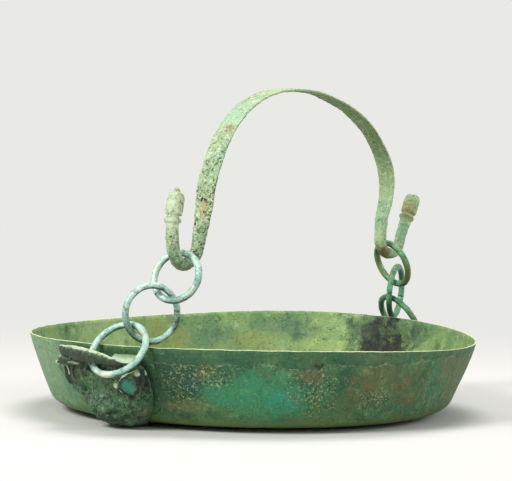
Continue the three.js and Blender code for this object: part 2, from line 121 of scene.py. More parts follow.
class Finish:
    """A material whose patterns lie on Object coordinates, in millimetres."""

    def __init__(self, name):
        self.material = bpy.data.materials.new(name)
        self.material.use_nodes = True
        self.tree = self.material.node_tree
        self.shader = self.tree.nodes["Principled BSDF"]
        self.place = self.add("ShaderNodeTexCoord", output="Object")
        facing = self.add("ShaderNodeTexCoord", output="Normal")
        tilt = self.add("ShaderNodeSeparateXYZ", inputs={0: facing})
        self.upward = Wire(self, tilt.socket.node.outputs["Z"])
        apart = self.add("ShaderNodeSeparateXYZ", inputs={0: self.place})
        outputs = apart.socket.node.outputs
        self.x, self.y, self.z = (Wire(self, outputs[i]) * 1000 for i in range(3))

    def add(self, kind, settings=None, inputs=None, output=0):
        node = self.tree.nodes.new(kind)
        for key, value in (settings or {}).items():
            setattr(node, key, value)
        for key, value in (inputs or {}).items():
            if isinstance(value, Wire):
                self.tree.links.new(value.socket, node.inputs[key])
            else:
                node.inputs[key].default_value = value
        return Wire(self, node.outputs[output])

    def cloud(self, size, seed, detail=4, rough=0.55, warp=0.0):
        """Noise from 0 to 1 whose lumps are about that many millimetres across."""
        shifted = self.add(
            "ShaderNodeVectorMath", {"operation": "ADD"}, {0: self.place, 1: (seed, seed * 0.7, -seed)}
        )
        return self.add(
            "ShaderNodeTexNoise",
            {"noise_dimensions": "3D"},
            {"Vector": shifted, "Scale": 1000 / size, "Detail": detail, "Roughness": rough,
             "Distortion": warp},
        )

    def cells(self, size, seed):
        """Distance to the middle of the nearest of many scattered cells, 0 in the middle."""
        shifted = self.add(
            "ShaderNodeVectorMath", {"operation": "ADD"}, {0: self.place, 1: (-seed, seed, seed * 0.4)}
        )
        return self.add(
            "ShaderNodeTexVoronoi", {"feature": "F1"}, {"Vector": shifted, "Scale": 1000 / size}
        )

    def spot(self, where, reach, edge):
        """1 inside a blot round a place, with reach along X, Y and Z. edge makes its border ragged."""
        away = self.add(
            "ShaderNodeVectorMath",
            {"operation": "SUBTRACT"},
            {0: self.place, 1: [value * MM for value in where]},
        )
        scaled = self.add(
            "ShaderNodeVectorMath", {"operation": "DIVIDE"}, {0: away, 1: [v * MM for v in reach]}
        )
        far = self.add("ShaderNodeVectorMath", {"operation": "LENGTH"}, {0: scaled}, output="Value")
        return self.ramp(far + edge, 1.25, 0.45)

    def ramp(self, value, low, high):
        """0 below low, 1 above high and a soft slope between. low may be above high."""
        return self.add(
            "ShaderNodeMapRange",
            {"interpolation_type": "SMOOTHSTEP"},
            {"Value": value, "From Min": low, "From Max": high},
        )

    def blend(self, mask, under, over):
        return self.add(
            "ShaderNodeMix",
            {"data_type": "RGBA", "clamp_factor": True},
            {0: mask, 6: under, 7: over},
            output=2,
        )

    def bump(self, height, depth, under=None):
        """Relief of that depth in millimetres where height goes from 0 to 1."""
        inputs = {"Strength": 1.0, "Distance": depth * MM, "Height": height}
        if under is not None:
            inputs["Normal"] = under
        return self.add("ShaderNodeBump", inputs=inputs)

    def wear(self, colour, roughness, normal, metallic):
        links = {"Base Color": colour, "Roughness": roughness, "Normal": normal, "Metallic": metallic}
        for key, value in links.items():
            if isinstance(value, Wire):
                self.tree.links.new(value.socket, self.shader.inputs[key])
            else:
                self.shader.inputs[key].default_value = value
        return self.material


def paint(chart):
    """A colour from a paint chart's six figures, made linear for the shader."""
    parts = [int(chart[i : i + 2], 16) / 255 for i in (0, 2, 4)]
    return (*[p / 12.92 if p < 0.04045 else ((p + 0.055) / 1.055) ** 2.4 for p in parts], 1)


# %% [markdown]
# ## Floor and light
# The object stands on a plain pale floor, which keeps its shadow. Further out the floor fades into the
# pale background, so no horizon crosses the picture. Only camera, glossy and transmission rays see that
# background: the light on the object comes from soft lamps and a dimmer sky. The broad key lamp hangs at
# the upper left, because in the photograph the head throws its shade to the right.

# %% Pale background that adds no light
BACKGROUND = paint("E9E9E6")
SKY_STRENGTH = 0.34


def seen_background(tree):
    """1 where a ray is one that should see the pale background."""
    rays = tree.nodes.new("ShaderNodeLightPath")
    total = rays.outputs["Is Camera Ray"]
    for kind in ("Is Glossy Ray", "Is Transmission Ray"):
        either = tree.nodes.new("ShaderNodeMath")
        either.operation = "MAXIMUM"
        tree.links.new(total, either.inputs[0])
        tree.links.new(rays.outputs[kind], either.inputs[1])
        total = either.outputs[0]
    return total


world = bpy.data.worlds.new("studio")
bpy.context.scene.world = world
world.use_nodes = True
sky = world.node_tree.nodes["Background"]
sky.inputs["Color"].default_value = BACKGROUND
sky.inputs["Strength"].default_value = SKY_STRENGTH
backdrop = world.node_tree.nodes.new("ShaderNodeBackground")
backdrop.inputs["Color"].default_value = BACKGROUND
either_sky = world.node_tree.nodes.new("ShaderNodeMixShader")
world.node_tree.links.new(seen_background(world.node_tree), either_sky.inputs[0])
world.node_tree.links.new(sky.outputs[0], either_sky.inputs[1])
world.node_tree.links.new(backdrop.outputs[0], either_sky.inputs[2])
world.node_tree.links.new(either_sky.outputs[0], world.node_tree.nodes["World Output"].inputs[0])
bpy.context.scene.view_settings.view_transform = "Standard"

# %% Floor
bm = bmesh.new()
bmesh.ops.create_grid(bm, x_segments=1, y_segments=1, size=12)
floor_mesh = bpy.data.meshes.new("floor")
bm.to_mesh(floor_mesh)
bm.free()
floor = bpy.data.objects.new("floor", floor_mesh)
bpy.context.collection.objects.link(floor)
floor_finish = Finish("floor_paper")
floor_tone = floor_finish.blend(
    floor_finish.cloud(90, 3.1, detail=2), paint("DAD9D7"), paint("DEDDDB")
)
floor_grain = floor_finish.bump(floor_finish.cloud(4, 1.7), 0.05)
floor_mesh.materials.append(floor_finish.wear(floor_tone, 0.9, floor_grain, 0.0))
floor_tree = floor_finish.tree
distance = floor_finish.add(
    "ShaderNodeVectorMath", {"operation": "LENGTH"}, {0: floor_finish.place}, output="Value"
)
faded = floor_finish.ramp(distance, 0.28, 0.75) * Wire(floor_finish, seen_background(floor_tree))
glow = floor_finish.add("ShaderNodeEmission", inputs={"Color": BACKGROUND, "Strength": 1.0})
paper = Wire(floor_finish, floor_finish.shader.outputs[0])
mixed = floor_finish.add("ShaderNodeMixShader", inputs={0: faded, 1: paper, 2: glow})
floor_tree.links.new(mixed.socket, floor_tree.nodes["Material Output"].inputs["Surface"])
print("floor", round(floor.dimensions.x, 1), "m wide")


# %% Lamps
def lamp(name, place, size, power, tint):
    data = bpy.data.lights.new(name, "AREA")
    data.shape = "DISK"
    data.size = size
    data.energy = power
    data.color = tint
    made = bpy.data.objects.new(name, data)
    bpy.context.collection.objects.link(made)
    made.location = place
    made.rotation_mode = "QUATERNION"
    made.rotation_quaternion = (Vector((0, 0, 0.08)) - Vector(place)).to_track_quat("-Z", "Y")


lamp("key_lamp", (-1.15, -1.05, 1.15), 0.7, 27, (1, 0.99, 0.97))
lamp("top_lamp", (0.1, 0.35, 1.5), 0.9, 15, (1, 0.98, 0.95))
lamp("front_lamp", (0.9, -1.6, 0.8), 0.9, 6, (0.98, 0.99, 1))
lamp("edge_lamp", (1.5, 0.25, 0.7), 0.6, 6, (0.97, 0.99, 1))

# %% [markdown]
# ## Helpers for the pieces
# Each piece is made in a bmesh, in the frame's own place, and becomes an object at the origin. Old bronze
# has no true surface left, so every piece also gets a slight unevenness along its normals.

# %% Making an object of a bmesh
def finish_piece(name, bm, body, materials, nodes=(), smooth=True):
    mesh = bpy.data.meshes.new(name)
    bm.to_mesh(mesh)
    bm.free()
    for material in materials:
        mesh.materials.append(material)
    for face in mesh.polygons:
        face.use_smooth = smooth
    piece = bpy.data.objects.new(name, mesh)
    bpy.context.collection.objects.link(piece)
    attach(piece, body)
    if nodes:
        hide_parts(*nodes)
    print(name, len(mesh.polygons), "faces")
    return piece


def uneven(bm, layers, seed, sink):
    """Moves every corner along its normal by layers of (lump size, depth) in millimetres.

    The surface first sinks by that much, so the lumps don't fill the play between pieces.
    """
    bm.normal_update()
    shifts = []
    for vert in bm.verts:
        shift = -sink * MM
        for size, depth in layers:
            shift += depth * MM * noise.noise(vert.co / (size * MM) + Vector((seed, 0, -seed)))
        shifts.append(vert.normal * shift)
    for vert, shift in zip(bm.verts, shifts):
        vert.co += shift


def heading(bearing, rise):
    """Unit vector from a bearing round the vertical and a rise above the level, in degrees."""
    flat = math.cos(math.radians(rise))
    turn = math.radians(bearing)
    return Vector((flat * math.cos(turn), flat * math.sin(turn), math.sin(math.radians(rise))))


def smoothstep(value, low, high):
    share = min(max((value - low) / (high - low), 0), 1)
    return share * share * (3 - 2 * share)


# %% [markdown]
# ## Patina
# Bronze that lay in the ground is covered with several copper salts. The main tone changes in broad
# clouds, a second tone breaks it in patches, dark tin-rich skin shows where the crust has flaked, and
# small pits and grains cover it all. One function lays these coats in that order, and a second one adds
# the blots that a piece has at known places.

# %% The coats that all patinas share
def patina(finish, tones, seed, patch=16, pits=0.5, grain=0.25, dark=0.6):
    """Base colour, roughness and relief of a patina. tones are main, second, pale and dark."""
    main, second, pale, deep = tones
    broad = finish.ramp(finish.cloud(patch * 2.4, seed, detail=5, warp=0.6), 0.4, 0.62)
    colour = finish.blend(broad, main, second)
    bloom = finish.ramp(finish.cloud(patch * 0.6, seed + 1.3, detail=7, rough=0.7), 0.52, 0.66)
    colour = finish.blend(bloom * 0.6, colour, pale)
    stain = finish.ramp(finish.cloud(patch, seed + 2.1, detail=7, rough=0.7, warp=0.4), 0.53, 0.66)
    colour = finish.blend(stain * dark, colour, deep)
    speck = finish.ramp(finish.cloud(1.3, seed + 3.7, detail=3, rough=0.7), 0.56, 0.68)
    colour = finish.blend(speck * 0.5, colour, pale)
    dust = finish.ramp(finish.cloud(2.4, seed + 4.4, detail=4, rough=0.75), 0.55, 0.68)
    colour = finish.blend(dust * 0.7, colour, deep)
    hollow = finish.ramp(finish.cells(2.3, seed), 0.36, 0.14)
    sparse = finish.ramp(finish.cloud(11, seed + 5.2, detail=3), 0.48, 0.6)
    pit = hollow * sparse
    colour = finish.blend(pit * 0.8 * min(pits * 1.5, 1), colour, deep)
    fine = finish.bump(finish.cloud(0.9, seed + 6.1, detail=3, rough=0.6), grain)
    lumps = finish.bump(finish.cloud(4.5, seed + 7.3, detail=5, rough=0.6), grain * 2.4, fine)
    relief = finish.bump(1 - pit, pits, lumps)
    roughness = finish.cloud(7, seed + 8.9, detail=4) * 0.3 + 0.5 - bloom * 0.12 + stain * 0.1
    return colour, roughness, relief


def blots(finish, colour, places, seed, size=7, rag=3.4):
    """Lays blots over a colour. Each has a place, a reach, a paint and a strength."""
    edge = finish.cloud(size, seed, detail=8, rough=0.78, warp=0.4) * rag - rag / 2
    mottle = finish.ramp(finish.cloud(size * 0.4, seed + 0.9, detail=5, rough=0.75), 0.38, 0.58)
    worn = mottle * 0.4 + 0.6
    for where, reach, chart, strength in places:
        mask = finish.spot(where, reach, edge) * worn * strength
        colour = finish.blend(mask, colour, paint(chart))
    return colour


def granules(finish, colour, relief, zone, size, tones, height, seed):
    """A crumbly crust inside a zone: pale tips and dark gaps of that size, with relief."""
    crumbs = finish.cloud(size, seed, detail=2, rough=0.55)
    tips = finish.ramp(crumbs, 0.57, 0.64) * zone
    gaps = finish.ramp(crumbs, 0.45, 0.38) * zone
    colour = finish.blend(gaps * 0.7, colour, paint(tones[1]))
    return finish.blend(tips * 0.6, colour, paint(tones[0])), finish.bump(tips, height, relief)


# %% [markdown]
# ## The dish
# The dish was raised from one sheet about one and a half millimetres thick, and its rim has sprung out
# of round. A profile that is spun about the upright axis makes the whole shell in one step. After that
# every corner is moved by the same sums that bend the CAD model: the rim dips and spreads more the
# higher it is on the wall.

# %% Dish profile and shell
RIM_RADIUS, RIM_HEIGHT, WALL = 150, 52.7, 1.5
FOOT_RADIUS = 78
CORNER_AT_BASE, CORNER_AT_WALL = (126, 3.6), (136, 11)
WALL_BULGE = 1.8


def arc(start, pull, end, count):
    """Points of a quadratic curve after its start."""
    points = []
    for i in range(1, count + 1):
        t = i / count
        points.append(tuple(
            (1 - t) ** 2 * a + 2 * t * (1 - t) * b + t * t * c for a, b, c in zip(start, pull, end)
        ))
    return points


def outer_profile():
    base_pull = ((FOOT_RADIUS + CORNER_AT_BASE[0]) / 2 + 8, 0)
    corner_pull = (CORNER_AT_WALL[0] - 2.2, CORNER_AT_BASE[1] + 2.2)
    wall_pull = (
        (CORNER_AT_WALL[0] + RIM_RADIUS) / 2 + WALL_BULGE,
        (CORNER_AT_WALL[1] + RIM_HEIGHT) / 2,
    )
    points = [(0.01 + i * 13, 0) for i in range(6)] + [(FOOT_RADIUS, 0)]
    points += arc((FOOT_RADIUS, 0), base_pull, CORNER_AT_BASE, 7)
    points += arc(CORNER_AT_BASE, corner_pull, CORNER_AT_WALL, 5)
    points += arc(CORNER_AT_WALL, wall_pull, (RIM_RADIUS, RIM_HEIGHT), 16)
    return points


def wall_radius(z):
    """Radius of the dish's outside at a height, before the wall sprang."""
    points = outer_profile()
    for (r0, z0), (r1, z1) in zip(points, points[1:]):
        if z1 >= z > z0:
            return r0 + (r1 - r0) * (z - z0) / (z1 - z0)
    return RIM_RADIUS if z > 0 else FOOT_RADIUS


def sprung(x, y, z):
    angle = math.atan2(y, x)
    share = smoothstep(z, CORNER_AT_WALL[1], RIM_HEIGHT)
    rise = -2.0 * math.cos(2 * angle) + 1.5 * math.sin(2 * angle) - 0.8 * math.cos(3 * angle)
    spread = 2.6 * math.sin(2 * angle) + 1.04 * math.cos(2 * angle) + 0.9 * math.cos(3 * angle)
    scale = 1 + share * spread / RIM_RADIUS
    return Vector((x * scale, y * scale, z + share * rise))


outside = outer_profile()
inside = []
for i, (r, z) in enumerate(outside):
    r0, z0 = outside[max(i - 1, 0)]
    r1, z1 = outside[min(i + 1, len(outside) - 1)]
    run = Vector((r1 - r0, z1 - z0)).normalized()
    inside.append((max(r - run.y * WALL, 0.01), z + run.x * WALL))
lip = (
    (outside[-1][0] + inside[-1][0]) / 2 + 0.15,
    max(outside[-1][1], inside[-1][1]) + 0.15,
)

bm = bmesh.new()
line = [bm.verts.new((r * MM, 0, z * MM)) for r, z in [*outside, lip, *reversed(inside)]]
edges = [bm.edges.new(pair) for pair in zip(line, line[1:])]
bmesh.ops.spin(
    bm,
    geom=[*line, *edges],
    cent=(0, 0, 0),
    axis=(0, 0, 1),
    angle=2 * math.pi,
    steps=288,
    use_merge=True,
)
bmesh.ops.remove_doubles(bm, verts=bm.verts, dist=0.02 * MM)
bmesh.ops.recalc_face_normals(bm, faces=bm.faces)
for face in bm.faces:
    middle = face.calc_center_median() / MM
    outwards = face.normal.x * middle.x + face.normal.y * middle.y
    if middle.z > RIM_HEIGHT - 0.6:
        face.material_index = 2
    elif face.normal.z > 0.6 or (outwards < 0 and middle.z > 3):
        face.material_index = 1
for vert in bm.verts:
    x, y, z = vert.co / MM
    rough_rim = 0.28 * smoothstep(z, 45, RIM_HEIGHT)
    rough_rim *= noise.noise(Vector((x, y, 0)) / 9) + 0.6 * noise.noise(Vector((x, y, 40)) / 3.5)
    moved = sprung(x, y, z)
    vert.co = Vector((moved.x, moved.y, moved.z + rough_rim)) * MM
uneven(bm, [(34, 0.28), (11, 0.14), (4.5, 0.07)], 2.5, 0.2)
for vert in bm.verts:
    vert.co.z = max(vert.co.z, 0)
print("dish", len(bm.faces), "faces")
dish_bm = bm

# %% [markdown]
# The wall outside changes a lot along its front. It is sage green at the left end, bright teal in the
# middle and brown and olive at the right; to the right of the head a painted shadow of the head makes it
# nearly black-green. A band of crust runs under the rim and ends in a thin wavy pale line, and the corner
# of the foot is olive. The inside is duller and yellower, with a dark stain at the back. The lip is worn
# down to a pale edge.

# %% Blots on the dish
OUTSIDE_BLOTS = [
    ((-137, -48, 30), (34, 54, 60), "7FA07A", 0.95),
    ((-118, -82, 30), (6, 14, 28), "347C66", 0.7),
    ((-128, -66, 16), (8, 14, 18), "6A9560", 0.6),
    # Painted shadow: the head's cast shadow on the wall to its right, painted in nearly black-green.
    ((-50, -135, 34), (25, 30, 26), "1B4430", 0.9),
    ((-37, -138, 33), (8, 14, 8), "234C50", 0.6),
    ((-27, -142, 40), (9, 12, 9), "6B6038", 0.6),
    ((-40, -132, 17), (15, 14, 5), "6C7040", 0.7),
    ((-12, -146, 45), (17, 14, 10), "1D5A3E", 0.75),
    ((8, -140, 26), (40, 25, 16), "29845E", 0.9),
    ((24, -142, 22), (18, 12, 8), "239072", 0.7),
    ((46, -136, 26), (20, 20, 17), "2F6A46", 0.8),
    ((38, -140, 38), (8, 12, 6), "665634", 0.7),
    ((62, -130, 34), (12, 14, 16), "154F33", 0.95),
    ((80, -119, 34), (17, 20, 14), "5E5430", 0.7),
    ((70, -128, 20), (24, 20, 8), "425C2E", 0.8),
    ((102, -103, 26), (22, 24, 18), "44562C", 0.85),
    ((116, -82, 36), (8, 14, 13), "2C6E40", 0.75),
    ((127, -70, 42), (9, 16, 9), "6A5E38", 0.5),
    ((138, -46, 30), (18, 28, 30), "4C5C30", 0.85),
    ((-10, 143, 30), (50, 20, 26), "24705A", 0.7),
    ((90, 112, 30), (30, 30, 26), "566238", 0.6),
    ((-110, 90, 34), (30, 30, 20), "1D4234", 0.7),
]
INSIDE_BLOTS = [
    ((92, 112, 40), (23, 30, 26), "0E180A", 1.1),
    ((98, 108, 32), (17, 28, 9), "0E180A", 1.0),
    ((78, 124, 46), (10, 12, 8), "2E3F2E", 0.7),
    ((116, 86, 44), (9, 16, 9), "3E5440", 0.65),
    ((24, 142, 44), (26, 14, 9), "4A6A56", 0.65),
    ((52, 133, 33), (22, 16, 4), "99AC60", 0.6),
    ((-30, 141, 36), (22, 14, 10), "55775F", 0.6),
    ((-60, 128, 36), (24, 16, 14), "8F9450", 0.65),
    ((4, 144, 34), (20, 14, 8), "8F9052", 0.55),
    ((-105, 98, 40), (36, 34, 16), "A6BC84", 0.8),
    ((0, 0, 2), (70, 60, 6), "5F7048", 0.6),
]

WARTY_ZONES = [
    ((-42, -138, 32), (15, 14, 17)),
    ((-24, -142, 38), (12, 14, 8)),
    ((42, -137, 26), (17, 14, 17)),
    ((84, -120, 22), (22, 14, 8)),
]
CRUST_PLACE, CRUST_REACH = (42, -143, 47), (22, 14, 8)


# %% Dish finishes
def dish_outside():
    finish = Finish("dish_outside")
    tones = (paint("2F6442"), paint("4A703F"), paint("6C9A64"), paint("0F2A1C"))
    colour, roughness, relief = patina(finish, tones, 1.0, patch=18, pits=0.4, grain=0.25)
    colour = blots(finish, colour, OUTSIDE_BLOTS, 2.2, size=13)
    ragged = finish.cloud(6, 6.6, detail=6, rough=0.7)
    foot_band = finish.ramp(finish.z + ragged * 9, 16, 9)
    colour = finish.blend(foot_band * 0.75, colour, paint("66803F"))
    rust = finish.ramp(finish.cloud(9, 9.4, detail=8, rough=0.8, warp=0.5), 0.52, 0.63)
    colour = finish.blend(rust * finish.ramp(finish.x, -40, 70) * 0.6, colour, paint("7C6034"))
    broken_light = finish.ramp(finish.cloud(3.6, 18.2, detail=6, rough=0.8), 0.54, 0.66)
    broken_dark = finish.ramp(finish.cloud(3.1, 19.6, detail=6, rough=0.8), 0.54, 0.66)
    colour = finish.blend(broken_light * 0.4, colour, paint("86AE74"))
    colour = finish.blend(broken_dark * 0.5, colour, paint("143322"))
    scatter = finish.cloud(9, 3.9, detail=6, rough=0.75) * 3 - 1.5
    warty = sum((finish.spot(*zone, scatter) for zone in WARTY_ZONES), 0.16)
    colour, relief = granules(
        finish, colour, relief, warty, 1.45, ("AEB67C", "10261A"), 0.3, 4.4
    )
    wave = finish.cloud(17, 12.6, detail=4, rough=0.6)
    over = finish.z - (wave * 15 + 36.5)
    band = finish.ramp(over, -0.3, 0.5)
    crust = finish.ramp(finish.cloud(6, 4.9, detail=7, rough=0.75, warp=0.9), 0.48, 0.58)
    thick = finish.spot(CRUST_PLACE, CRUST_REACH, scatter) * 0.6 + 0.3
    near_foot = finish.ramp(over, 5, 1.5)
    right_part = finish.ramp(finish.x, -75, -45)
    colour = finish.blend(band * right_part * 0.4, colour, paint("1F5239"))
    crust = crust * band * near_foot * thick * right_part
    colour = finish.blend(crust, colour, paint("0C1A14"))
    line = finish.ramp(over, -0.5, 0) * finish.ramp(over, 0.6, 0.1)
    broken = finish.ramp(finish.cloud(10, 15.1, detail=6, rough=0.75), 0.44, 0.58)
    colour = finish.blend(line * broken * right_part * 0.55, colour, paint("9DB88F"))
    relief = finish.bump(band, 0.25, relief)
    return finish.wear(colour, roughness, relief, 0.15)


def dish_inside():
    finish = Finish("dish_inside")
    tones = (paint("87A468"), paint("668C5E"), paint("AABF84"), paint("2A402B"))
    colour, roughness, relief = patina(finish, tones, 5.0, patch=12, pits=0.3, grain=0.22)
    colour = blots(finish, colour, INSIDE_BLOTS, 7.7, size=16)
    warm = finish.ramp(finish.cloud(7, 10.2, detail=7, rough=0.78, warp=0.5), 0.58, 0.68)
    colour = finish.blend(warm * 0.5, colour, paint("97834A"))
    return finish.wear(colour, roughness, relief, 0.1)


def dish_lip():
    finish = Finish("dish_lip")
    tones = (paint("DAD8AE"), paint("C3CC9E"), paint("F0EBC8"), paint("7B8A62"))
    colour, roughness, relief = patina(finish, tones, 8.0, patch=9, pits=0.15, grain=0.1, dark=0.4)
    return finish.wear(colour, roughness, relief, 0.2)


finish_piece(
    "dish_shell", dish_bm, "vessel", [dish_outside(), dish_inside(), dish_lip()], ["pan"],
)

# %% [markdown]
# ## The rings
# Each ring is a cast or hammered rod about four and a half millimetres thick, bent round until its ends
# almost meet. A small circle is spun through nearly a full turn, its ends are closed with flat caps, and
# the ring is turned to lie in its chain as the photograph has it. All rings get painted shade on their
# undersides. The left rings are pale mint, with polished dark places where the next ring has rubbed.

# %% Rings
RING_SIZES = {"lower": (43.4, 4.6), "middle": (40.4, 4.6), "upper": (36.9, 4.9)}
RING_LIES = {
    "left_lower": (heading(-124.2, 39.8), 5),
    "left_middle": (heading(-64.8, -0.2), 21),
    "left_upper": (heading(-118.7, 21.3), 200),
    "right_lower": (heading(30.9, 33.1), 180),
    "right_middle": (heading(163.2, 3.5), 90),
    "right_upper": (heading(-143.9, -22.5), 60),
}
SEAM = 0.5
LEFT_RING_BLOTS = [
    ((-48.6, -114.7, 67), (5, 5, 8), "223A32", 0.95),
    ((-50, -115.5, 76), (4, 4, 1.1), "16211D", 0.9),
    ((-79, -129, 63), (6, 5, 8), "24443A", 0.9),
    ((-80.5, -129.5, 72), (5, 5, 9), "3F6A58", 0.7),
    ((-69.5, -134.7, 61.4), (3.5, 3.5, 1.4), "5E3426", 0.9),
    ((-70, -136, 63), (4, 4, 5), "C8BFA4", 0.6),
    ((-50, -124, 84), (8, 5, 5), "3C5C4E", 0.7),
    ((-37.3, -128, 88), (5, 5, 7), "B4AE94", 0.5),
    # Painted shade: the lower ring is darkened where it runs into the shadowed hollow under the head's bar.
    ((-100.5, -133, 42.5), (5, 6, 6), "1E2C24", 0.95),
    ((-91, -144, 37.6), (8, 5, 4), "E2E6D2", 0.7),
    ((-62, -109, 100), (4, 5, 7), "D8C9B8", 0.5),
]
RIGHT_RING_BLOTS = [
    ((106, 97, 88), (10, 12, 10), "6F6A40", 0.9),
    ((90, 110, 90), (9, 12, 12), "7E9460", 0.8),
    ((100, 116, 64), (12, 14, 10), "243A2C", 0.95),
    ((102, 124, 82), (8, 10, 8), "B6D4AC", 0.7),
]


def ring_finish(name, tones, places, seed):
    finish = Finish(name)
    colour, roughness, relief = patina(finish, tones, seed, patch=8, pits=0.3, grain=0.16, dark=0.75)
    # Painted shade: faces that point downwards are darkened towards the dark tone, as if in shadow.
    under = finish.ramp(finish.upward + finish.cloud(5, seed + 3.3, detail=4) * 0.7, 0.25, -0.35)
    colour = finish.blend(under * 0.8, colour, tones[3])
    colour = blots(finish, colour, places, seed + 0.8, size=4, rag=1.6)
    return finish.wear(colour, roughness - 0.06, relief, 0.25)


left_ring_finish = ring_finish(
    "left_ring_patina", (paint("B6D8CC"), paint("8CB8A8"), paint("F0F8F0"), paint("223E36")),
    LEFT_RING_BLOTS, 11.0,
)
right_ring_finish = ring_finish(
    "right_ring_patina", (paint("5E9C76"), paint("6C8C5A"), paint("A6D0A6"), paint("1C3226")),
    RIGHT_RING_BLOTS, 13.0,
)

for place, (facing, seam_turn) in RING_LIES.items():
    outer, rod = RING_SIZES[place.split("_")[1]]
    radius = (outer - rod) / 2
    opening = SEAM / radius
    low, high = (Vector(corner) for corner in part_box(f"{place}_ring"))
    centre = (low + high) / 2
    bm = bmesh.new()
    rod_circle = bmesh.ops.create_circle(bm, cap_ends=True, segments=18, radius=rod / 2 * MM)
    stand = Matrix.Translation((radius * MM, 0, 0)) @ Matrix.Rotation(math.pi / 2, 4, "X")
    bmesh.ops.transform(bm, matrix=stand, verts=rod_circle["verts"])
    bmesh.ops.rotate(bm, cent=(0, 0, 0), matrix=Matrix.Rotation(opening / 2, 3, "Z"), verts=bm.verts)
    bmesh.ops.spin(
        bm,
        geom=bm.faces[:],
        cent=(0, 0, 0),
        axis=(0, 0, 1),
        angle=2 * math.pi - opening,
        steps=110,
    )
    lie = Vector((0, 0, 1)).rotation_difference(facing).to_matrix().to_4x4()
    turn = Matrix.Rotation(math.radians(seam_turn), 4, "Z")
    bmesh.ops.transform(bm, matrix=Matrix.Translation(centre) @ lie @ turn, verts=bm.verts)
    bmesh.ops.recalc_face_normals(bm, faces=bm.faces)
    uneven(bm, [(14, 0.2), (5, 0.15), (2, 0.09)], radius + centre.x * 1000, 0.2)
    material = left_ring_finish if place.startswith("left") else right_ring_finish
    finish_piece(f"{place}_link", bm, f"{place}_ring", [material], [f"{place}_ring"])

# %% [markdown]
# ## The handle
# The handle is one forging: a bud on a collar, a round hook, a strap that widens towards the crown, and
# the same again in reverse. The path is a smooth curve through a few listed points. A ring of
# corners is extruded from station to station along it, and each new ring is set to the width, thickness
# and squareness that the handle has there.

# %% Path of the handle
LEFT_HOOK = Vector((-46.51, -116.05, 106.07))
RIGHT_HOOK = Vector((96.7, 105.21, 101.75))
RISE = 113.3
HANDLE_PATH = [
    (-1.047, 0.431), (-1.063, 0.344), (-1.081, 0.247), (-1.079, 0.15), (-1.06, 0.059), (-1, 0),
    (-0.926, 0.011), (-0.874, 0.057), (-0.838, 0.185), (-0.813, 0.312), (-0.793, 0.45),
    (-0.744, 0.575), (-0.66, 0.724), (-0.535, 0.853), (-0.411, 0.926), (-0.252, 0.981), (-0.067, 1),
    (0.176, 0.989), (0.375, 0.942), (0.556, 0.875), (0.73, 0.771), (0.81, 0.695), (0.885, 0.604),
    (0.93, 0.508), (0.945, 0.415), (0.934, 0.327), (0.905, 0.238), (0.891, 0.15), (0.896, 0.066),
    (0.94, 0.011), (1, 0), (1.072, 0.021), (1.11, 0.106), (1.16, 0.208), (1.204, 0.289),
    (1.238, 0.358),
]
half_span = (RIGHT_HOOK - LEFT_HOOK).length / 2
along = (RIGHT_HOOK - LEFT_HOOK).normalized()
across = Vector((-along.y, along.x, 0)).normalized()
upward = along.cross(across)
middle = (LEFT_HOOK + RIGHT_HOOK) / 2
path = [Vector((share * half_span, 0, up * RISE)) for share, up in HANDLE_PATH]


def smooth_path(points, count):
    """Points along a centripetal curve through the given ones, at equal distances."""
    ends = [points[0] * 2 - points[1], *points, points[-1] * 2 - points[-2]]
    fine = []
    for i in range(1, len(ends) - 2):
        p0, p1, p2, p3 = ends[i - 1 : i + 3]
        d0, d1, d2 = ((b - a).length ** 0.5 for a, b in ((p0, p1), (p1, p2), (p2, p3)))
        t1 = ((p1 - p0) / d0 - (p2 - p0) / (d0 + d1) + (p2 - p1) / d1) * d1
        t2 = ((p2 - p1) / d1 - (p3 - p1) / (d1 + d2) + (p3 - p2) / d2) * d1
        for k in range(24):
            t = k / 24
            c2 = -3 * p1 + 3 * p2 - 2 * t1 - t2
            c3 = 2 * p1 - 2 * p2 + t1 + t2
            fine.append(p1 + t1 * t + c2 * t * t + c3 * t ** 3)
    fine.append(points[-1])
    travel = [0]
    for a, b in zip(fine, fine[1:]):
        travel.append(travel[-1] + (b - a).length)
    result = []
    j = 0
    for k in range(count + 1):
        goal = travel[-1] * k / count
        while j < len(fine) - 2 and travel[j + 1] < goal:
            j += 1
        share = (goal - travel[j]) / (travel[j + 1] - travel[j])
        result.append(fine[j].lerp(fine[j + 1], share))
    return result, travel[-1]


STATIONS = 760
stations, handle_length = smooth_path(path, STATIONS)
print("handle length", round(handle_length, 1), "mm")

# %% Sections of the handle
ROD = 8.8
STRAP_WIDTH, STRAP_THICK = 14.6, 2.6
# Distance from the tip and radius, in rod thicknesses: nub, bud, groove, collar, rod
FINIAL = [
    (0, 0.12), (0.05, 0.21), (0.16, 0.25), (0.3, 0.27), (0.36, 0.42), (0.46, 0.55), (0.62, 0.63),
    (0.85, 0.67), (1.4, 0.69), (1.85, 0.68), (2.0, 0.66), (2.06, 0.5), (2.19, 0.49), (2.26, 0.63),
    (2.4, 0.67), (2.52, 0.64), (2.6, 0.53), (2.8, 0.5), (3.3, 0.5),
]
LOST_NUB = 0.34 * ROD


def between(rows, place):
    for (a, low), (b, high) in zip(rows, rows[1:]):
        if place <= b:
            return low + (high - low) * (place - a) / (b - a)
    return rows[-1][1]


def handle_section(travel):
    """Half width, half thickness and squareness at a distance along the handle."""
    right_side = travel > handle_length / 2
    from_tip = handle_length - travel + LOST_NUB if right_side else travel
    if from_tip <= FINIAL[-1][0] * ROD:
        radius = between(FINIAL, from_tip / ROD) * ROD
        return radius, radius, 2
    wide = smoothstep(from_tip, 66, 118)
    thin = smoothstep(from_tip, 58, 100)
    rod = ROD / 2 - (0.3 if right_side else 0)
    full = STRAP_WIDTH / 2 - (0.8 if right_side else 0)
    half_wide = rod + (full - rod) * wide
    half_thin = rod + (STRAP_THICK / 2 - rod) * thin
    return half_wide, half_thin, 2 + 2.2 * thin


SIDES = 28


